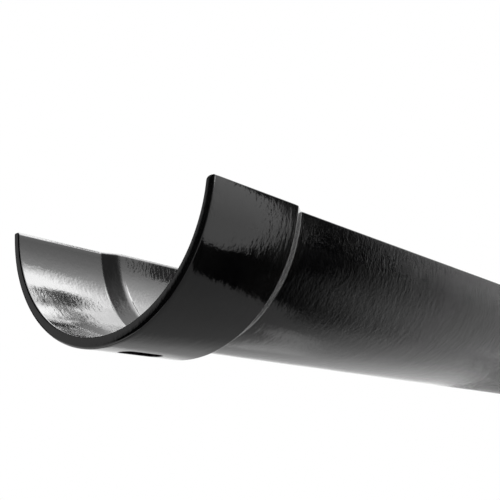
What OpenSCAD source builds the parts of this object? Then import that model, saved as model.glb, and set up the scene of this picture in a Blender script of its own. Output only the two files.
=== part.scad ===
// Half-round rainwater gutter length in cast metal, one casting.
// +X runs along the gutter from the socket mouth to the plain spigot end, +Z is up, and the
// open side faces up. The middle of its length is at x = 0, and the socket rests on z = 0.
// All faces but the outside of the socket are turned about one line, a little above the rims.
// The outside of the socket is turned about a lower line, which makes its sole the thickest part.

/* [Channel] */
// Inside radius of the channel
inner_radius = 57.8; // [38:0.1:80]
// Height of the centre of that radius above the rims
centre_height = 5.8; // [0:0.1:10]
// Thickness of the casting
wall = 4; // [3:0.1:6]
// Length of channel that one casting adds to a run
laying_length = 1829; // [600:1:2400]

/* [Socket] */
// Depth of the socket, from its mouth to the start of the shoulder
socket_depth = 50; // [44:1:80]
// Room for sealant between the socket and the spigot of the next length
joint_gap = 0.4; // [0.3:0.1:3]
// How much thicker the socket is at its sole than at its rims
sole_extra = 1; // [0.2:0.1:1.6]
// Length of the sloping shoulder, along the gutter
shoulder_length = 9.5; // [8:0.5:20]
// Length over which the foot of the shoulder is eased, to either side of it
foot_ease = 2; // [1:0.1:3]

/* [Bolt holes] */
// Width of the slot in the socket, and diameter of the hole in the spigot
bolt_hole = 8; // [6:0.5:10]
// Length of the slot in the socket, along the gutter
slot_length = 23; // [14:0.5:30]

/* [Edges] */
// Rounding of the outer edge of the mouth
mouth_round = 1.2; // [0.5:0.1:1.4]
// Rounding of the inner edge of the mouth, and of the spigot's end
end_round = 0.6; // [0.3:0.1:1.2]

/* [Hidden] */
$fn = 72;
edge_facets = 16;
thin = wall / 2;
drop = wall + joint_gap;
body_in = inner_radius;
body_out = body_in + wall;
socket_in = body_in + drop;
socket_out = socket_in + wall;
slope = atan(drop / shoulder_length);
corner = thin * tan(slope / 2);
knee_x = socket_depth + 2 * corner;
foot_x = socket_depth + shoulder_length;
ease_x = foot_x - foot_ease * cos(slope);
ease_y = body_in + foot_ease * sin(slope);
cone_in = body_in + thin - sole_extra / 2;
cone_x = knee_x + (socket_out - cone_in) / tan(slope);
total_length = socket_depth + laying_length;
line = socket_out + sole_extra;
rim = line - centre_height;
hole_x = socket_depth / 2;

// What a rounding takes off a square corner at the origin, with the wall up and to the right of it.
module edge(rounding) {
    difference() {
        translate([-rounding, -rounding]) square(2 * rounding);
        translate([rounding, rounding]) circle(rounding, $fn = edge_facets);
    }
}

// Outline turned about a line at this height; in it x runs along the gutter and y away from the line.
module turned(height) {
    translate([0, 0, height]) rotate([0, 90, 0]) rotate_extrude() mirror([1, -1]) children();
}

// Outside of the socket and its shoulder; the shoulder runs on into the wall of the channel.
module socket_outline() {
    difference() {
        polygon([[0, 0], [0, socket_out], [knee_x, socket_out], [cone_x, cone_in], [cone_x, 0]]);
        translate([0, socket_out]) mirror([0, 1]) edge(mouth_round);
    }
}

// Outside of the channel, from the middle of the shoulder on.
module channel_outline() {
    difference() {
        translate([socket_depth + shoulder_length / 2, 0])
            square([laying_length - shoulder_length / 2, body_out]);
        translate([total_length, body_out]) rotate(180) edge(end_round);
    }
}

// The hollow, with its step at the shoulder and the roundings of its two ends.
module hollow_outline() {
    polygon([[-wall, 0], [-wall, socket_in], [socket_depth, socket_in], [ease_x, ease_y],
        [foot_x + foot_ease, body_in], [total_length + wall, body_in], [total_length + wall, 0]]);
    translate([0, socket_in]) edge(end_round);
    translate([total_length, body_in]) mirror([1, 0]) edge(end_round);
}

// All that lies above the flat rims.
module above_rims() {
    translate([-wall, -2 * line, rim]) cube([total_length + 2 * wall, 4 * line, 3 * line]);
}

// Upright slot through the bottom of the socket.
module slot() {
    translate([hole_x, 0, -wall]) linear_extrude(3 * wall + sole_extra) {
        for (end = [-1, 1]) translate([end * (slot_length - bolt_hole) / 2, 0]) circle(d = bolt_hole);
        translate([(bolt_hole - slot_length) / 2, -bolt_hole / 2]) square([slot_length - bolt_hole, bolt_hole]);
    }
}

// Upright hole through the bottom of the spigot, which meets the slot of the next length.
module spigot_hole() {
    translate([total_length - hole_x, 0, 0]) cylinder(h = 4 * wall + sole_extra, d = bolt_hole);
}

module gutter_length() {
    color([0.02, 0.02, 0.022]) translate([-total_length / 2, 0, 0]) difference() {
        union() {
            turned(socket_out) socket_outline();
            turned(line) channel_outline();
        }
        turned(line) hollow_outline();
        above_rims();
        slot();
        spigot_hole();
    }
}

gutter_length();
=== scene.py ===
"""Looks of a half-round cast gutter length: one painted casting, its stage, lamps and camera."""
import math

import bmesh
import bpy
from bpy.props import FloatProperty, FloatVectorProperty, PointerProperty
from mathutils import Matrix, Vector


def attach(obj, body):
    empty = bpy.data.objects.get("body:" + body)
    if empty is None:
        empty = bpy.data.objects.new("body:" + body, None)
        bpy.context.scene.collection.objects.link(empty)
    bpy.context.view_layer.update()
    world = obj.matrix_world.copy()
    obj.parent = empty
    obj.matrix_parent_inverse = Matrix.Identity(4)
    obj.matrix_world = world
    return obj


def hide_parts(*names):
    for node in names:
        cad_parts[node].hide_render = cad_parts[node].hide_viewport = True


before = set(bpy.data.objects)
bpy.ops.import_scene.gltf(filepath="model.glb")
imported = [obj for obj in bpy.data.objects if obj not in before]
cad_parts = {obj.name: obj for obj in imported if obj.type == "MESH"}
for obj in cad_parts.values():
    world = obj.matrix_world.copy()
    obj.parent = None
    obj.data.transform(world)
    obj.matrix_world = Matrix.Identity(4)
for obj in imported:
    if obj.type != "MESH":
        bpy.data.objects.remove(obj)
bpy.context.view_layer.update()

bl_info = {
    "name": "Cast Gutter Length",
    "version": (1, 0, 0),
    "blender": (4, 5, 0),
    "location": "View3D > Sidebar > Gutter",
    "description": "Builds a half-round cast gutter length with its socket, paint, stage and lamps",
    "category": "Object",
}

MM = 0.001

# Mesh of the casting; angles are in degrees
WELD = 2e-6  # points nearer than this are joined
INNER_SHARE = -1e-6  # a share of the half wall below this lies on the wall's inner side
KNEE_LEAD, FOOT_LAG = 1.2 * MM, 2.6 * MM  # how far the close rings reach past the shoulder's ends
CLOSE_STEP = 0.35 * MM  # spacing of those rings
STEP_SLACK = 1e-6  # share of a step that may be left over
PLACE_DIGITS = 7  # decimals of a metre by which the mouth's rings are told apart
END_TURNS = range(0, 90, 15)  # rings in the rounding of the mouth or the spigot's end
RIM_TURNS = (18, 36, 54, 72)  # points in the rounding of a rim
BORE_TURNS = (0, 22.5, 45, 67.5, 90)  # rings in the rounding of a bore
BORE_SIDES = 64
OVERRUN = 3 * MM  # how far a bore's cutter stands out of the wall
RELIEF_ROUGHNESS = 0.55
SHARP_ANGLE = 38  # edges that turn further than this stay sharp

# Paint: how its patterns are stretched, scaled and mixed
PEEL_STRETCH = (1.1, 1.0, 1.0)
HOOP_STRETCH = (1.0, 0.5, 0.5)
STREAK_STRETCH = (9.0, 1.0, 1.0)
HOOP_SHARE, PORE_SHARE = 1.3, 0.15
PORE_SCALE = 0.45  # against the orange peel's scale
SOCKET_RELIEF, CHANNEL_RELIEF = 1.3, 3.0
RELIEF_RUN = 60 * MM  # length behind the shoulder over which the relief grows
THIN_SCALE, THIN_FROM, THIN_TO = 30.0, 0.42, 0.72
STREAK_SCALE = 1.5  # against the scale of the thin places
STREAK_SHARE = 0.6  # of the dullness; the thin places give the rest
DULL_FROM, DULL_TO = 0.3, 0.7
PAINT_IOR, COAT_ROUGHNESS = 1.5, 0.05


def length(name, text, millimetres, low=0.0):
    """A length property, given in millimetres and kept in metres."""
    return FloatProperty(name=name, description=text, default=millimetres * MM, min=low * MM,
                         subtype="DISTANCE", unit="LENGTH", precision=5)


def factor(name, text, default):
    """A share property, from none to all."""
    return FloatProperty(name=name, description=text, default=default, min=0, max=1,
                         subtype="FACTOR")


def strength(name, text, default, high):
    """A brightness property, where 1 is the white of the background."""
    return FloatProperty(name=name, description=text, default=default, min=0, max=high)


def tint(name, text, default):
    """A colour property."""
    return FloatVectorProperty(name=name, description=text, default=default, min=0, max=1, size=3,
                               subtype="COLOR")


class CastingSizes(bpy.types.PropertyGroup):
    """Sizes of the casting as in the part's source, and its softer edges and outer shoulder."""

    inner_radius: length("Inner Radius", "Inside radius of the channel", 57.8)
    centre_height: length("Centre Height",
                          "Height of the centre of that radius above the rims", 5.8)
    wall: length("Wall", "Thickness of the casting", 4)
    laying_length: length("Laying Length", "Length of channel that one casting adds to a run", 1829)
    socket_depth: length("Socket Depth", "From the mouth to the start of the shoulder", 50)
    joint_gap: length("Joint Gap", "Room for sealant between socket and spigot", 0.4)
    sole_extra: length("Sole Extra",
                       "How much thicker the socket is at its sole than at its rims", 1)
    shoulder_length: length("Shoulder Length", "Length of the sloping shoulder", 9.5)
    outer_start: length("Outer Start",
                        "How far behind the inner shoulder the outer one starts", 3.2)
    outer_length: length("Outer Length", "Length of the outer slope of the shoulder", 7.7)
    knee_ease: length("Knee Ease", "How softly the shoulder leaves the socket", 0.3)
    foot_ease: length("Inner Foot Ease", "How softly the shoulder meets the channel inside", 1.1)
    corner_ease: length("Outer Foot Ease", "How softly the shoulder meets the channel outside", 0.4)
    mouth_round: length("Mouth Rounding", "Rounding of the outer edge of the mouth", 1.2)
    end_round: length("End Rounding",
                      "Rounding of the mouth's inner edge and the spigot's end", 0.6)
    rim_out: length("Rim Outer Rounding", "Rounding of the outer edge of the rims", 0.8)
    rim_in: length("Rim Inner Rounding", "Rounding of the inner edge of the rims", 1.8)
    bolt_hole: length("Bolt Hole", "Width of the slot and diameter of the hole", 8)
    slot_length: length("Slot Length", "Length of the slot in the socket", 23)
    bore_round: length("Bore Rounding",
                       "Rounding that the paint leaves on the edges of slot and hole", 0.45)


class SkinSizes(bpy.types.PropertyGroup):
    """How the mould left the surface of the casting, and how close its mesh is."""

    swell_height: length("Swell Height", "Height of the long swell that the mould left", 0.07)
    swell_width: length("Swell Width", "Width of that swell", 26)
    ripple_height: length("Ripple Height", "Height of the fine ripple", 0.035)
    ripple_width: length("Ripple Width", "Width of the fine ripple", 7)
    fine_step: length("Fine Step", "Spacing of the mesh near the socket", 2.0, 0.5)
    plain_step: length("Plain Step", "Spacing of the mesh along the rest of the channel", 8.0, 0.5)
    fine_reach: length("Fine Reach", "Length from the mouth that has the fine spacing", 320)
    seed: FloatProperty(name="Seed", description="Picks one pattern of swell and ripple",
                        default=3.0)


class PaintLook(bpy.types.PropertyGroup):
    """Gloss paint over cast metal."""

    colour: tint("Colour", "Colour of the paint", (0.0026, 0.0026, 0.0029))
    thin_colour: tint("Thin Colour", "Colour where the paint is thinner", (0.006, 0.0059, 0.0057))
    gloss: factor("Roughness", "Roughness where the paint is smoothest", 0.05)
    dull: factor("Dull Roughness", "Roughness where the paint is dullest", 0.12)
    coat: factor("Top Coat", "Share of clear gloss on the paint", 0.12)
    peel_width: length("Peel Width", "Width of the orange peel in the paint", 1.4)
    peel_height: length("Peel Height", "Height of the orange peel in the paint", 0.021)
    hoop_width: length("Hoop Width", "Spacing of the faint hoops round the gutter", 2.6)


class StageLook(bpy.types.PropertyGroup):
    """Floor, surroundings, lamps, the brightness of the painted highlights, and camera."""

    floor_colour: tint("Floor Colour", "Colour of the floor", (0.86, 0.86, 0.86))
    fill: strength("Fill", "Strength of the even light from all round", 0.5, 2)
    strip: strength("Strip", "Brightness of the strip lamp overhead", 4.0, 50)
    # Lit: brightness of the sheets seen only in gloss that paint highlights on the casting; they
    # glow though they are no lamps
    lit: strength("Painted Highlight", "Brightness of the lit cloths that gloss shows", 14.0, 50)
    wash: strength("Wash", "Brightness of the broad lamp below the strip", 0.9, 50)
    focal: FloatProperty(name="Focal Length", default=59.126, min=10, max=200,
                         description="Focal length of the camera, in millimetres")


class Nodes:
    """Adds nodes to a tree and joins them up."""

    def __init__(self, tree):
        self.tree = tree

    def add(self, kind, inputs=None, **settings):
        """A node with its settings made and its inputs joined or filled in."""
        node = self.tree.nodes.new(kind)
        for key, value in settings.items():
            setattr(node, key, value)
        for key, value in (inputs or {}).items():
            if isinstance(value, bpy.types.NodeSocket):
                self.tree.links.new(value, node.inputs[key])
            else:
                node.inputs[key].default_value = value
        return node

    def math(self, what, *values):
        """The result of one sum."""
        return self.add("ShaderNodeMath", dict(enumerate(values)), operation=what).outputs[0]

    def parts(self, vector):
        """The three parts of a vector."""
        node = self.add("ShaderNodeSeparateXYZ", {0: vector})
        return node.outputs[0], node.outputs[1], node.outputs[2]

    def stretched(self, vector, scale):
        """A vector with each of its parts scaled."""
        return self.add("ShaderNodeMapping", {"Vector": vector, "Scale": scale}).outputs[0]

    def noise(self, vector, scale, detail, roughness=0.5):
        """The value of a noise."""
        return self.add("ShaderNodeTexNoise", {"Vector": vector, "Scale": scale, "Detail": detail,
                                               "Roughness": roughness}).outputs[0]

    def remap(self, value, from_min=0.0, from_max=1.0, to_min=0.0, to_max=1.0, **settings):
        """A value carried from one range to another."""
        return self.add("ShaderNodeMapRange",
                        {"Value": value, "From Min": from_min, "From Max": from_max,
                         "To Min": to_min, "To Max": to_max}, **settings).outputs[0]


def new_tree(name, kind, inputs, outputs):
    """An empty group: the way to add nodes, the sockets it is given and those it fills."""
    tree = bpy.data.node_groups.new(name, kind)
    for side, sockets in (("INPUT", inputs), ("OUTPUT", outputs)):
        for label, socket in sockets:
            tree.interface.new_socket(name=label, in_out=side, socket_type=socket)
    nodes = Nodes(tree)
    return nodes, nodes.add("NodeGroupInput").outputs, nodes.add("NodeGroupOutput").inputs


def casting_tree():
    """A wall swept along the gutter: its section turned about the line, stepped out at the socket,
    rippled as the mould left it, and bored.

    Stations holds a point for each ring: x along the gutter, and the shares of the half wall that
    its two ends' roundings leave outside and inside. Section holds a point for each side of a ring:
    its share of the way to the rims, its share of the half wall, and its depth below the rims."""
    sizes = ("Channel Inside", "Channel Outside", "Socket Inside", "Socket Outside", "Sole Extra",
             "Centre Height", "Line Height", "Mouth Place", "Inner Foot", "Outer Foot",
             "Inner Rise", "Outer Rise", "Knee Ease", "Inner Ease", "Outer Ease", "Half Wall",
             "Swell Height", "Swell Width", "Ripple Height", "Ripple Width", "Seed")
    n, given, result = new_tree(
        "Cast Wall", "GeometryNodeTree",
        [("Stations", "NodeSocketGeometry"), ("Section", "NodeSocketObject"),
         ("Bores", "NodeSocketObject")]
        + [(name, "NodeSocketFloat") for name in sizes] + [("Paint", "NodeSocketMaterial")],
        [("Casting", "NodeSocketGeometry")])

    def whole(what, a, b):
        """The result of one sum in whole numbers."""
        return n.add("FunctionNodeIntegerMath", {0: a, 1: b}, operation=what).outputs[0]

    def held(thing):
        """The geometry of the object in this socket."""
        return n.add("GeometryNodeObjectInfo", {"Object": thing}).outputs["Geometry"]

    def count(geometry):
        """The number of its points."""
        size = n.add("GeometryNodeAttributeDomainSize", {"Geometry": geometry})
        return size.outputs["Point Count"]

    stations, section = given["Stations"], held(given["Section"])
    rings, sides = count(stations), count(section)
    net = n.add("GeometryNodeMeshGrid", {"Vertices X": rings, "Vertices Y": sides}).outputs["Mesh"]
    index = n.add("GeometryNodeInputIndex").outputs[0]
    ring, side = whole("DIVIDE_FLOOR", index, sides), whole("MODULO", index, sides)
    place = n.add("GeometryNodeInputPosition").outputs[0]

    def read(geometry, number):
        """The three values that the point of this number holds."""
        node = n.add("GeometryNodeSampleIndex", {"Geometry": geometry, "Index": number},
                     data_type="FLOAT_VECTOR", domain="POINT")
        value = next(s for s in node.inputs if s.name == "Value" and s.enabled)
        n.tree.links.new(place, value)
        return n.parts(next(s for s in node.outputs if s.enabled))

    along, outside, inside = read(stations, ring)
    turn, share, depth = read(section, side)

    is_out = n.math("GREATER_THAN", share, INNER_SHARE)
    left = n.math("ADD", n.math("MULTIPLY", is_out, outside),
                  n.math("MULTIPLY", n.math("SUBTRACT", 1.0, is_out), inside))

    def face(side, extra):
        """Distance of one face of the wall from the line, where the shoulder steps it out."""
        channel = given["Channel Inside" if side == "Inner" else "Channel Outside"]
        socket = given["Socket Inside" if side == "Inner" else "Socket Outside"]
        cone = n.math("MULTIPLY_ADD", n.math("SUBTRACT", given[side + " Foot"], along),
                      given[side + " Rise"], channel)
        stepped = n.math("SMOOTH_MIN", socket, cone, given["Knee Ease"])
        return n.math("SMOOTH_MAX", channel, n.math("ADD", stepped, extra), given[side + " Ease"])

    sole = n.math("MULTIPLY", given["Sole Extra"],
                  n.math("COSINE", n.math("MULTIPLY", turn, math.pi / 2)))
    inner, outer = face("Inner", 0.0), face("Outer", sole)
    middle = n.math("MULTIPLY", n.math("ADD", inner, outer), 0.5)
    radius = n.math("MULTIPLY_ADD", n.math("MULTIPLY", share, left),
                    n.math("SUBTRACT", outer, middle), middle)
    sunk = n.math("MULTIPLY_ADD", n.math("SUBTRACT", 1.0, outside), given["Half Wall"],
                  n.math("MULTIPLY", depth, outside))
    reach = n.math("ARCCOSINE",
                   n.math("DIVIDE", n.math("ADD", given["Centre Height"], sunk), radius))
    angle = n.math("MULTIPLY", turn, reach)
    across = n.math("MULTIPLY", radius, n.math("SINE", angle))
    above = n.math("SUBTRACT", given["Line Height"],
                   n.math("MULTIPLY", radius, n.math("COSINE", angle)))
    x = n.math("ADD", along, given["Mouth Place"])
    point = n.add("ShaderNodeCombineXYZ", {0: x, 1: across, 2: above}).outputs[0]
    shaped = n.add("GeometryNodeSetPosition", {"Geometry": net, "Position": point}).outputs[0]
    closed = n.add("GeometryNodeMergeByDistance", {"Geometry": shaped, "Distance": WELD}).outputs[0]

    def relief(kind, squeeze, detail):
        """Height of one kind of ripple, up or down, its pattern squeezed along the gutter."""
        where = n.add("ShaderNodeVectorMath", {0: place, 1: (squeeze, 1.0, 1.0)},
                      operation="MULTIPLY").outputs[0]
        noise = n.add("ShaderNodeTexNoise",
                      {"Vector": where, "W": given["Seed"],
                       "Scale": n.math("DIVIDE", 1.0, given[kind + " Width"]),
                       "Detail": detail, "Roughness": RELIEF_ROUGHNESS},
                      noise_dimensions="4D").outputs[0]
        return n.math("MULTIPLY", n.math("SUBTRACT", noise, 0.5),
                      n.math("MULTIPLY", given[kind + " Height"], 2.0))

    height = n.math("ADD", relief("Swell", squeeze=0.8, detail=1.0),
                    relief("Ripple", squeeze=1.5, detail=2.0))
    normal = n.add("GeometryNodeInputNormal").outputs[0]
    outwards = n.add("ShaderNodeVectorMath", {0: normal, "Scale": height},
                     operation="SCALE").outputs[0]
    rippled = n.add("GeometryNodeSetPosition", {"Geometry": closed, "Offset": outwards}).outputs[0]
    cut = n.add("GeometryNodeMeshBoolean", {"Mesh 1": rippled, "Mesh 2": held(given["Bores"])},
                operation="DIFFERENCE", solver="MANIFOLD").outputs[0]
    smooth = n.add("GeometryNodeSetShadeSmooth", {"Geometry": cut}).outputs[0]
    real = n.add("GeometryNodeRealizeInstances", {"Geometry": smooth}).outputs[0]
    painted = n.add("GeometryNodeSetMaterial",
                    {"Geometry": real, "Material": given["Paint"]}).outputs[0]
    n.tree.links.new(painted, result["Casting"])
    return n.tree


def paint_skin():
    """Group for what gloss paint on a casting shows close up: orange peel and faint hoops that are
    coarser past the shoulder, and places where the paint lies thinner and duller."""
    n, given, result = new_tree(
        "Paint Skin", "ShaderNodeTree",
        [("Place", "NodeSocketVector"), ("Peel Scale", "NodeSocketFloat"),
         ("Hoop Scale", "NodeSocketFloat"), ("Thin Scale", "NodeSocketFloat"),
         ("Rough From", "NodeSocketFloat")],
        [("Relief", "NodeSocketFloat"), ("Thin", "NodeSocketFloat"), ("Dull", "NodeSocketFloat")])
    place, rough_from = given["Place"], given["Rough From"]
    peel = n.noise(n.stretched(place, PEEL_STRETCH), given["Peel Scale"], detail=1.0)
    hoops = n.noise(n.stretched(place, HOOP_STRETCH), given["Hoop Scale"], detail=1.0)
    pores = n.add("ShaderNodeTexVoronoi",
                  {"Vector": place, "Scale": n.math("MULTIPLY", given["Peel Scale"], PORE_SCALE)},
                  feature="SMOOTH_F1").outputs["Distance"]
    even = n.math("ADD", n.math("MULTIPLY_ADD", hoops, HOOP_SHARE, peel),
                  n.math("MULTIPLY", pores, PORE_SHARE))
    rougher = n.remap(n.parts(place)[0], rough_from, n.math("ADD", rough_from, RELIEF_RUN),
                      SOCKET_RELIEF, CHANNEL_RELIEF)
    relief = n.math("MULTIPLY", even, rougher)
    thin = n.remap(n.noise(place, given["Thin Scale"], detail=4.0, roughness=0.6),
                   THIN_FROM, THIN_TO)
    streaks = n.noise(n.stretched(place, STREAK_STRETCH),
                      n.math("MULTIPLY", given["Thin Scale"], STREAK_SCALE), detail=3.0)
    dull = n.math("MULTIPLY_ADD", streaks, STREAK_SHARE, n.math("MULTIPLY", thin, 1 - STREAK_SHARE))
    for value, name in ((relief, "Relief"), (thin, "Thin"), (dull, "Dull")):
        n.tree.links.new(value, result[name])
    return n.tree


def gloss_black(look, shoulder):
    """Gloss black paint on cast metal, coarser past the shoulder's place along the gutter."""
    material = bpy.data.materials.new("gloss_black_casting")
    material.use_nodes = True
    n = Nodes(material.node_tree)
    shader = material.node_tree.nodes["Principled BSDF"]
    skin = n.add("ShaderNodeGroup", node_tree=paint_skin())
    n.tree.links.new(n.add("ShaderNodeTexCoord").outputs["Object"], skin.inputs["Place"])
    for name, value in (("Peel Scale", 1 / look.peel_width), ("Hoop Scale", 1 / look.hoop_width),
                        ("Thin Scale", THIN_SCALE), ("Rough From", shoulder)):
        skin.inputs[name].default_value = value
    colour = n.add("ShaderNodeMix", {0: skin.outputs["Thin"], 6: (*look.colour, 1),
                                     7: (*look.thin_colour, 1)}, data_type="RGBA").outputs[2]
    rough = n.remap(skin.outputs["Dull"], DULL_FROM, DULL_TO, look.gloss, look.dull)
    bump = n.add("ShaderNodeBump", {"Strength": 1.0, "Distance": look.peel_height,
                                    "Height": skin.outputs["Relief"]}).outputs[0]
    for value, name in ((colour, "Base Color"), (rough, "Roughness"), (bump, "Normal")):
        n.tree.links.new(value, shader.inputs[name])
    for name, value in (("IOR", PAINT_IOR), ("Coat Weight", look.coat),
                        ("Coat Roughness", COAT_ROUGHNESS)):
        shader.inputs[name].default_value = value
    return material


def point_mesh(name, points, faces=()):
    """An object whose mesh holds these points and faces."""
    mesh = bpy.data.meshes.new(name)
    mesh.from_pydata(points, [], faces)
    mesh.update()
    thing = bpy.data.objects.new(name, mesh)
    bpy.context.scene.collection.objects.link(thing)
    return thing


def steps(start, stop, step):
    """Evenly spaced values from start up to stop, which is left out."""
    count = max(1, math.ceil((stop - start) / step - STEP_SLACK))
    return [start + (stop - start) * i / count for i in range(count)]


def left_of(x, rounding, half):
    """Share of the half wall that a rounding leaves at a depth x behind the end."""
    if x >= rounding:
        return 1.0
    return 1 - (rounding - math.sqrt(rounding ** 2 - (rounding - x) ** 2)) / half


def stations(s, skin, foot):
    """One point for each ring of the wall, from the mouth to the spigot's end."""
    half = s.wall / 2
    total = s.socket_depth + s.laying_length
    turn = [math.radians(a) for a in END_TURNS]

    def depths(rounding, turns):
        """How far behind the end the rings of its rounding lie."""
        return [rounding * (1 - math.cos(a)) for a in turns]

    # The smaller rounding inside the mouth adds only a few rings to those of the larger one
    mouth = depths(s.mouth_round, turn) + depths(s.end_round, turn[2::2])
    knee, past = s.socket_depth - KNEE_LEAD, foot + FOOT_LAG
    places = sorted({round(x, PLACE_DIGITS) for x in mouth})
    places += steps(s.mouth_round, knee, skin.fine_step)
    places += steps(knee, past, CLOSE_STEP)
    places += steps(past, skin.fine_reach, skin.fine_step)
    places += steps(skin.fine_reach, total - s.socket_depth, skin.plain_step)
    places += steps(total - s.socket_depth, total - s.end_round, skin.fine_step)
    found = [(0.0, 0.0, 0.0)]
    found += [(x, left_of(x, s.mouth_round, half), left_of(x, s.end_round, half)) for x in places]
    for x in reversed(depths(s.end_round, turn)):
        share = left_of(x, s.end_round, half)
        found.append((total - x, share, share))
    found.append((total, 0.0, 0.0))
    return found


def section(s, skin):
    """One point for each side of a ring: share of the way to the rims, share of the half wall, and
    depth below the rims."""
    count = round(math.pi * (s.inner_radius + s.wall) / skin.fine_step)
    arc = [2 * i / count - 1 for i in range(count + 1)]
    bend = [math.radians(a) for a in RIM_TURNS]

    def edge(rounding, towards):
        """The rounding of one edge of a rim, from the wall's face to its middle."""
        corner = rounding / (s.wall / 2)
        turned = [(1 - corner * (1 - math.cos(a)), rounding * (1 - math.sin(a))) for a in bend]
        return [(share * towards, depth) for share, depth in turned + [(1 - corner, 0.0)]]

    outer, inner = edge(s.rim_out, 1), edge(s.rim_in, -1)
    over = outer + [(0.0, 0.0)] + inner[::-1]
    found = [(a, 1.0, s.rim_out) for a in arc]
    found += [(1.0, share, depth) for share, depth in over]
    found += [(a, -1.0, s.rim_in) for a in reversed(arc)]
    found += [(-1.0, share, depth) for share, depth in reversed(over)]
    return found + found[:1]


def plug(x, long, wide, low, high, rounding):
    """Points and faces of a cutter for one bore: it flares where it leaves the wall at either
    face."""
    turn = [math.radians(a) for a in BORE_TURNS]

    def flare_at(a):
        """How far the cutter stands out sideways at this turn of the rounding."""
        return rounding * (1 - math.cos(math.pi / 2 - a))

    levels = [(low - OVERRUN, rounding)]
    levels += [(low + rounding * math.sin(a), flare_at(a)) for a in turn]
    levels += [(high - rounding * math.sin(a), flare_at(a)) for a in reversed(turn)]
    levels += [(high + OVERRUN, rounding)]
    found = []
    for z, flare in levels:
        for i in range(BORE_SIDES):
            a = 2 * math.pi * (i + 0.5) / BORE_SIDES
            end, radius = math.copysign((long - wide) / 2, math.cos(a)), wide / 2 + flare
            found.append((x + end + radius * math.cos(a), radius * math.sin(a), z))
    faces = [tuple(reversed(range(BORE_SIDES)))]
    for ring in range(len(levels) - 1):
        for i in range(BORE_SIDES):
            j = (i + 1) % BORE_SIDES
            a, b = ring * BORE_SIDES, (ring + 1) * BORE_SIDES
            faces.append((a + i, a + j, b + j, b + i))
    faces.append(tuple(range(len(found) - BORE_SIDES, len(found))))
    return found, faces


def set_inputs(modifier, values):
    """Fills a modifier's inputs by their sockets' identifiers."""
    for item in modifier.node_group.interface.items_tree:
        if item.item_type == "SOCKET" and item.in_out == "INPUT" and item.name in values:
            modifier[item.identifier] = values[item.name]


def facing_out(mesh):
    """Makes a closed mesh's faces point outwards, and stops if it isn't closed."""
    net = bmesh.new()
    net.from_mesh(mesh)
    loose = sum(1 for e in net.edges if len(e.link_faces) != 2)
    if loose:
        raise RuntimeError(f"the casting has {loose} open edges")
    if net.calc_volume(signed=True) < 0:
        bmesh.ops.reverse_faces(net, faces=net.faces)
    net.to_mesh(mesh)
    net.free()


class OBJECT_OT_gutter_casting(bpy.types.Operator):
    """Cast the gutter length: channel, shoulder and socket in one wall, with its slot and hole"""

    bl_idname = "object.gutter_casting"
    bl_label = "Cast Gutter Length"

    def execute(self, context):
        s, skin = context.scene.gutter_sizes, context.scene.gutter_skin
        channel_out = s.inner_radius + s.wall
        socket_in = channel_out + s.joint_gap
        socket_out = socket_in + s.wall
        step = s.wall + s.joint_gap
        foot = s.socket_depth + s.shoulder_length
        outer_foot = s.socket_depth + s.outer_start + s.outer_length
        line = socket_out + s.sole_extra
        mouth = -(s.socket_depth + s.laying_length) / 2
        slot_place = mouth + s.socket_depth / 2

        holder = point_mesh("gutter_casting_stations", stations(s, skin, outer_foot))
        ring = point_mesh("ring_sides", section(s, skin))
        points, faces = [], []
        for x, long, low, high in (
                (slot_place, s.slot_length, 0.0, line - socket_in),
                (-slot_place, s.bolt_hole, line - channel_out, line - s.inner_radius)):
            more, sides = plug(x, long, s.bolt_hole, low, high, s.bore_round)
            faces += [tuple(i + len(points) for i in side) for side in sides]
            points += more
        bores = point_mesh("bore_cutters", points, faces)

        modifier = holder.modifiers.new("Cast Wall", "NODES")
        modifier.node_group = casting_tree()
        set_inputs(modifier, {
            "Section": ring, "Bores": bores,
            "Channel Inside": s.inner_radius, "Channel Outside": channel_out,
            "Socket Inside": socket_in, "Socket Outside": socket_out, "Sole Extra": s.sole_extra,
            "Centre Height": s.centre_height, "Line Height": line, "Mouth Place": mouth,
            "Inner Foot": foot, "Outer Foot": outer_foot,
            "Inner Rise": step / s.shoulder_length, "Outer Rise": step / s.outer_length,
            "Knee Ease": s.knee_ease, "Inner Ease": s.foot_ease, "Outer Ease": s.corner_ease,
            "Half Wall": s.wall / 2,
            "Swell Height": skin.swell_height, "Swell Width": skin.swell_width,
            "Ripple Height": skin.ripple_height, "Ripple Width": skin.ripple_width,
            "Seed": skin.seed,
            "Paint": gloss_black(context.scene.gutter_paint, mouth + foot)})
        ready = holder.evaluated_get(context.evaluated_depsgraph_get())
        mesh = bpy.data.meshes.new_from_object(ready)
        if not mesh.polygons:
            raise RuntimeError("the casting came out empty")
        piece = bpy.data.objects.new("gutter_casting", mesh)
        context.scene.collection.objects.link(piece)
        for used in (holder, ring, bores):
            bpy.data.objects.remove(used)
        facing_out(mesh)
        mesh.set_sharp_from_angle(angle=math.radians(SHARP_ANGLE))
        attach(piece, "root")
        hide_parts("gutter_length")
        return {"FINISHED"}


# Stage; lamps, and the sheets that paint reflections on the casting, are placed by their direction
# from the socket, in degrees
VIEWED = Vector((-0.88, 0.0, 0.035))  # middle of the socket
FLOOR_REACH = 8.0
FADE_FROM, FADE_TO = 1.1, 2.6  # distances over which the camera's view of the floor fades out
GRAIN_SCALE, GRAIN_DARK, GRAIN_PALE = 9.0, 0.97, 1.03
LAMP_DISTANCE = 3.0
# Name, azimuth, elevation, width, height and the property that gives the brightness
LAMPS = (("low_wash", -10, 33, 4.2, 1.4, "wash"), ("strip_lamp", -8, 50, 2.6, 0.62, "strip"))
CAMERA_PLACE = (-1.15452, -0.26894, -0.04451)
CAMERA_YAW, CAMERA_PITCH = 0.709954, 0.250387  # in radians
SENSOR_WIDTH, CLIP_START = 36, 0.01

# Tones of the sheets that paint dark and bright reflections into the gloss, by brightness; the
# brightest one's is a property
REFLECTION_TONES = {"black_reflection": 0.0, "dim_reflection": 0.15, "deep_reflection": 0.25, "grey_reflection": 0.22,
          "pale_reflection": 1.0}
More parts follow.
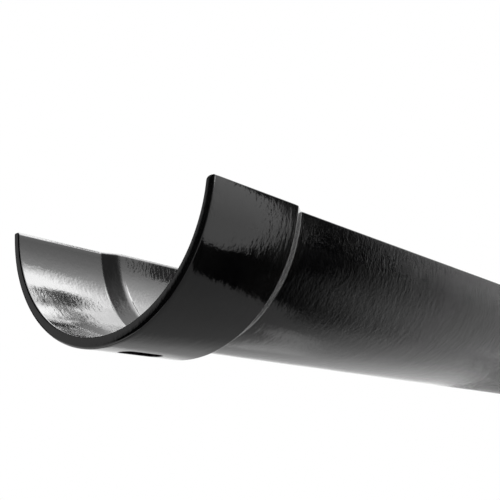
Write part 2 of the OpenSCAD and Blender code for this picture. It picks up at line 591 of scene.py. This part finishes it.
# Name, tone, distance and rows of each sheet of painted reflection; a row is an elevation and its
# pairs of azimuth and cover
REFLECTION_SHEETS = (
    # Black, dim, deep and grey sheets paint dark bands and painted shade into the reflections; lit
    # and pale ones paint highlights that glow though they are no lamps
    ("side_flag", "black_reflection", 2.6, [
        (18, ((-44, 0.9), (-37, 1), (-27, 0.5), (-10, 0.2), (10, 0))),
        (0, ((-42, 0.9), (-37, 1), (-27, 0.3), (-10, 0.2), (10, 0))),
        (-23.5, ((-40.5, 1), (-33, 1), (-20, 0.45), (-8, 0.15), (5, 0))),
        (-24, ((-62, 1), (-33, 1), (-20, 0.45), (-8, 0.15), (5, 0))),
        (-30, ((-62, 1), (-29, 1), (-16, 0.5), (-8, 0.3), (2, 0))),
        (-35, ((-62, 1), (-24, 1), (-13, 0.8), (-6, 0.5), (3, 0))),
        (-38, ((-62, 1), (-18, 1), (-10, 0.9), (-4, 0.9), (6, 0)))]),
    ("overhead_flag", "dim_reflection", 2.5, [
        (52.4, ((-14, 0), (-10, 0), (5, 0), (14, 0))),
        (53.4, ((-18, 0), (-14, 0.9), (9, 0.9), (16, 0))),
        (54, ((-18, 0), (-13, 1), (9, 1), (17, 0))),
        (56, ((-17, 0), (-13, 1), (9, 1), (17, 0))),
        (57.5, ((-14, 0), (-10, 0), (6, 0), (14, 0)))]),
    ("tail_flag", "black_reflection", 2.45, [
        (e, ((a - 1.5, 0), (a + 0.5, 0.9), (a + 4, 0.9), (a + 6, 0)))
        for e, a in ((54.5, 10), (53, 14.5), (51, 19.5), (49.5, 23), (47.5, 28), (46, 31))]),
    ("far_flag", "black_reflection", 2.6, [
        (8, ((36, 0), (40, 1), (80, 1))),
        (28, ((36, 0), (40, 1), (80, 1))),
        (33, ((33, 0), (36, 1), (80, 1))),
        (35, ((33, 0), (36, 1), (80, 1))),
        (38, ((33, 0), (37, 0), (80, 0)))]),
    ("corner_flag", "black_reflection", 2.45, [
        (e, ((-3, 0), (0, 0.6), (a + 1, 0.6), (a + 1.6, 0)))
        for e, a in ((2, 24.5), (-3, 23.4), (-7, 22.4), (-10, 21), (-14, 18.3), (-17.5, 14.6),
                     (-20.5, 9.4), (-22.1, 4.3))]),
    ("low_glow", "bright_reflection", 2.8, [
        (2, ((-6, 0.006), (24, 0.011), (32, 0))),
        (-15, ((-6, 0.006), (22, 0.011), (32, 0))),
        (-22, ((-8, 0.006), (14, 0.008), (26, 0))),
        (-27, ((-8, 0), (14, 0), (24, 0)))]),
    ("wedge_flag", "deep_reflection", 2.5, [
        (18, ((-43, 0), (-42, 1), (-30, 1))),
        (25.5, ((-43, 0), (-42, 1), (-30, 1))),
        (29, ((-42, 0), (-41, 1), (-30, 1))),
        (31.5, ((-40, 0), (-39, 1), (-30, 1))),
        (34, ((-37, 0), (-36, 1), (-30, 1))),
        (35.5, ((-36, 0), (-34, 0), (-30, 0)))]),
    ("rear_cloth", "black_reflection", 3.4, [
        (e, ((-77, 0), (-90, front / 3), (-98, front), (-125, 1), (-190, 1), (-223, 1),
             (-229, face), (-241, face), (-247, side), (-300, side)))
        for e, front, face, side in (
            (80, 0, 0.5, 1), (45, 0.68, 0.5, 1), (15, 0.68, 0.5, 1), (-6, 0.68, 0.5, 1),
            (-16, 0.68, 0.4, 0), (-75, 0.68, 0, 0))]),
    ("lit_ceiling", "bright_reflection", 3.2, [
        (e, ((-88, 0), (-62, c), (60, c)))
        for e, c in ((-8, 0), (10, 0.03), (26, 0.045), (35, 0.085), (41, 0.15), (44, 0.19),
                     (48, 0.25), (50, 0.33), (52, 0.48), (58, 0.5), (66, 0.42), (72, 0.33),
                     (77, 0.18), (80, 0.1), (88, 0.1))]),
    ("lit_strip", "bright_reflection", 3.0, [
        (45, ((-50, 0), (-36, 0), (-28, 0), (-12, 0), (0, 0))),
        (47, ((-44, 0), (-36, 0.45), (-28, 0.1), (-12, 0), (0, 0))),
        (49, ((-42, 0.2), (-34, 0.75), (-26, 0.3), (-12, 0), (0, 0))),
        (51, ((-40, 0.4), (-33, 0.95), (-24, 0.8), (-12, 0.3), (0, 0.1))),
        (56, ((-40, 0.3), (-33, 0.8), (-24, 0.8), (-12, 0.5), (0, 0.1))),
        (59, ((-40, 0), (-30, 0), (-24, 0), (-12, 0), (0, 0)))]),
    ("lit_side", "bright_reflection", 3.0, [
        (7, ((-85, 0), (-80, 0.4), (-62, 0.4))),
        (17, ((-85, 0), (-80, 0.4), (-62, 0.4))),
        (20, ((-85, 0), (-80, 0), (-62, 0)))]),
    ("ground_cloth", "grey_reflection", 3.6, [
        (4, ((-80, 0), (-10, 0), (15, 0), (42, 0), (47, 0))),
        (-6, ((-80, 0), (-10, 0), (15, 0.1), (42, 0.55), (47, 0))),
        (-16, ((-80, 0), (-10, 0), (15, 0.2), (42, 0.55), (48, 0.1))),
        (-21, ((-80, 0), (-10, 0.05), (15, 0.2), (42, 0.6), (60, 0.6))),
        (-26, ((-80, 0.3), (-10, 0.2), (15, 0.4), (42, 0.6), (80, 0.7))),
        (-32, ((-80, 0.6), (-10, 0.6), (15, 0.65), (42, 0.8), (80, 0.9))),
        (-38, ((-80, 1), (-10, 0.85), (15, 0.9), (42, 1), (80, 1))),
        (-85, ((-80, 1), (-10, 1), (15, 1), (42, 1), (80, 1)))]),
    ("low_card", "pale_reflection", 3.0, [
        (-23, ((29, 0), (31, 0.7), (38, 0.7))),
        (-29, ((23, 0), (25, 0.7), (31, 0.7))),
        (-34, ((13, 0), (15, 0.7), (22, 0.7))),
        (-38, ((6, 0), (8, 0.7), (15, 0.7)))]),
)


def direction(azimuth, elevation, distance):
    """A place in this direction from the socket: azimuth from +X towards +Y, in degrees."""
    a, e = math.radians(azimuth), math.radians(elevation)
    ahead = Vector((math.cos(e) * math.cos(a), math.cos(e) * math.sin(a), math.sin(e)))
    return VIEWED + distance * ahead


def filled(stops, between=4):
    """Pairs of azimuth and cover with more set between them, so that a sheet of painted reflection
    bends smoothly.
    """
    more = []
    for (a, c), (b, d) in zip(stops, stops[1:]):
        more += [(a + (b - a) * i / between, c + (d - c) * i / between) for i in range(between)]
    return more + [stops[-1]]


def reflection_sheet(name, material, distance, rows):
    """A sheet seen in gloss alone, which paints a dark or bright reflection on the casting and
    neither lights nor shades it; the cover of its rows says how solid it is.
    """
    rows = [(e, filled(row)) for e, row in rows]
    wide = len(rows[0][1])
    points = [direction(a, e, distance) for e, row in rows for a, _ in row]
    faces = [(r * wide + i, r * wide + i + 1, (r + 1) * wide + i + 1, (r + 1) * wide + i)
             for r in range(len(rows) - 1) for i in range(wide - 1)]
    thing = point_mesh(name, points, faces)
    cover = thing.data.attributes.new("cover", "FLOAT", "POINT")
    cover.data.foreach_set("value", [c for _, row in rows for _, c in row])
    thing.data.materials.append(material)
    # Painted reflection: hidden from the camera, from diffuse light and from shadows, so it shows
    # only in the gloss
    thing.visible_camera = thing.visible_diffuse = False
    thing.visible_transmission = thing.visible_volume_scatter = thing.visible_shadow = False


def lamp(name, place, wide, tall, brightness):
    """A soft box of this brightness, where 1 is the white of the background."""
    light = bpy.data.lights.new(name, "AREA")
    light.shape, light.size, light.size_y = "RECTANGLE", wide, tall
    light.energy = brightness * math.pi * wide * tall
    thing = bpy.data.objects.new(name, light)
    thing.location = place
    thing.rotation_euler = (place - VIEWED).to_track_quat("Z", "Y").to_euler()
    thing.visible_camera = thing.visible_glossy = False
    bpy.context.scene.collection.objects.link(thing)


def bare_material(name):
    """A material without a shader: itself, the way to add nodes, and the socket of its surface."""
    material = bpy.data.materials.new(name)
    material.use_nodes = True
    nodes = material.node_tree.nodes
    nodes.remove(nodes["Principled BSDF"])
    return material, Nodes(material.node_tree), nodes["Material Output"].inputs["Surface"]


def floor_material(colour):
    """Pale floor that keeps the object's shadow. The camera doesn't see it from below, and sees it
    fade out far from the object."""
    material, n, surface = bare_material("pale_floor")
    place = n.add("ShaderNodeTexCoord").outputs["Object"]
    grain = n.noise(place, GRAIN_SCALE, detail=3.0)
    tone = n.remap(grain, to_min=GRAIN_DARK, to_max=GRAIN_PALE)
    shade = n.add("ShaderNodeVectorMath", {0: tuple(colour), "Scale": tone},
                  operation="SCALE").outputs[0]
    matt = n.add("ShaderNodeBsdfDiffuse", {"Color": shade}).outputs[0]
    clear = n.add("ShaderNodeBsdfTransparent").outputs[0]
    away = n.add("ShaderNodeVectorMath", {0: place}, operation="LENGTH").outputs["Value"]
    far = n.remap(away, FADE_FROM, FADE_TO, interpolation_type="SMOOTHSTEP")
    below = n.add("ShaderNodeNewGeometry").outputs["Backfacing"]
    path = n.add("ShaderNodeLightPath").outputs["Is Camera Ray"]
    unseen = n.math("MULTIPLY", path, n.math("MAXIMUM", below, far))
    mixed = n.add("ShaderNodeMixShader", {0: unseen, 1: matt, 2: clear}).outputs[0]
    n.tree.links.new(mixed, surface)
    return material


def reflection_material(name, tone):
    """Painted reflection of one tone, glowing though it is no lamp, and as solid as its cover says.
    """
    material, n, surface = bare_material(name)
    cover = n.add("ShaderNodeAttribute", attribute_name="cover").outputs["Fac"]
    reflection_tone = n.add("ShaderNodeEmission", {"Strength": tone}).outputs[0]
    clear = n.add("ShaderNodeBsdfTransparent").outputs[0]
    mixed = n.add("ShaderNodeMixShader", {0: cover, 1: clear, 2: reflection_tone}).outputs[0]
    n.tree.links.new(mixed, surface)
    return material


def white_world(fill):
    """Even light from all round, and white to the camera and in gloss and glass."""
    world = bpy.data.worlds.new("white_surroundings")
    world.use_nodes = True
    n = Nodes(world.node_tree)
    path = n.add("ShaderNodeLightPath").outputs
    seen = n.math("MAXIMUM", n.math("MAXIMUM", path["Is Camera Ray"], path["Is Glossy Ray"]),
                  path["Is Transmission Ray"])
    back = world.node_tree.nodes["Background"]
    back.inputs["Color"].default_value = (1, 1, 1, 1)
    n.tree.links.new(n.remap(seen, to_min=fill), back.inputs["Strength"])
    bpy.context.scene.world = world


class OBJECT_OT_gutter_stage(bpy.types.Operator):
    """Set the floor, the white surroundings, the lamps, the sheets of painted reflection and the
    camera
    """

    bl_idname = "object.gutter_stage"
    bl_label = "Set Stage"

    def execute(self, context):
        look = context.scene.gutter_stage
        white_world(look.fill)
        r = FLOOR_REACH
        floor = point_mesh("floor", [(-r, -r, 0), (r, -r, 0), (r, r, 0), (-r, r, 0)],
                           [(0, 1, 2, 3)])
        floor.data.materials.append(floor_material(look.floor_colour))
        floor.visible_glossy = False

        for name, azimuth, elevation, wide, tall, brightness in LAMPS:
            place = direction(azimuth, elevation, LAMP_DISTANCE)
            lamp(name, place, wide, tall, getattr(look, brightness))

        # Tones of the painted reflections; the lit one paints highlights that glow though they are
        # no lamps
        tones = {**REFLECTION_TONES, "bright_reflection": look.lit}
        reflection_materials = {name: reflection_material(name, tone) for name, tone in tones.items()}
        for name, reflection_tone, distance, rows in REFLECTION_SHEETS:
            reflection_sheet(name, reflection_materials[reflection_tone], distance, rows)

        camera = bpy.data.objects.new("camera", bpy.data.cameras.new("camera"))
        context.scene.collection.objects.link(camera)
        camera.data.lens, camera.data.sensor_width = look.focal, SENSOR_WIDTH
        camera.data.clip_start = CLIP_START
        camera.location = CAMERA_PLACE
        level = math.cos(CAMERA_PITCH)
        ahead = Vector((level * math.cos(CAMERA_YAW), level * math.sin(CAMERA_YAW),
                        math.sin(CAMERA_PITCH)))
        camera.rotation_euler = ahead.to_track_quat("-Z", "Y").to_euler()
        context.scene.camera = camera
        context.scene.view_settings.view_transform = "Standard"
        return {"FINISHED"}


class VIEW3D_PT_gutter(bpy.types.Panel):
    """Sizes, paint and stage of the gutter length"""

    bl_label = "Gutter Length"
    bl_idname = "VIEW3D_PT_gutter"
    bl_space_type = "VIEW_3D"
    bl_region_type = "UI"
    bl_category = "Gutter"

    def draw(self, context):
        for group, operator in (("gutter_sizes", None), ("gutter_skin", None),
                                ("gutter_paint", OBJECT_OT_gutter_casting.bl_idname),
                                ("gutter_stage", OBJECT_OT_gutter_stage.bl_idname)):
            box = self.layout.box()
            values = getattr(context.scene, group)
            for name in values.bl_rna.properties.keys():
                if name not in ("rna_type", "name"):
                    box.prop(values, name)
            if operator:
                box.operator(operator)


GROUPS = {"gutter_sizes": CastingSizes, "gutter_skin": SkinSizes, "gutter_paint": PaintLook,
          "gutter_stage": StageLook}
CLASSES = (*GROUPS.values(), OBJECT_OT_gutter_casting, OBJECT_OT_gutter_stage, VIEW3D_PT_gutter)


def register():
    for kind in CLASSES:
        bpy.utils.register_class(kind)
    for name, kind in GROUPS.items():
        setattr(bpy.types.Scene, name, PointerProperty(type=kind))


def unregister():
    for name in GROUPS:
        delattr(bpy.types.Scene, name)
    for kind in reversed(CLASSES):
        bpy.utils.unregister_class(kind)


def main():
    register()
    bpy.ops.object.gutter_casting()
    bpy.ops.object.gutter_stage()
    bpy.context.view_layer.update()


if __name__ == "__main__":
    main()
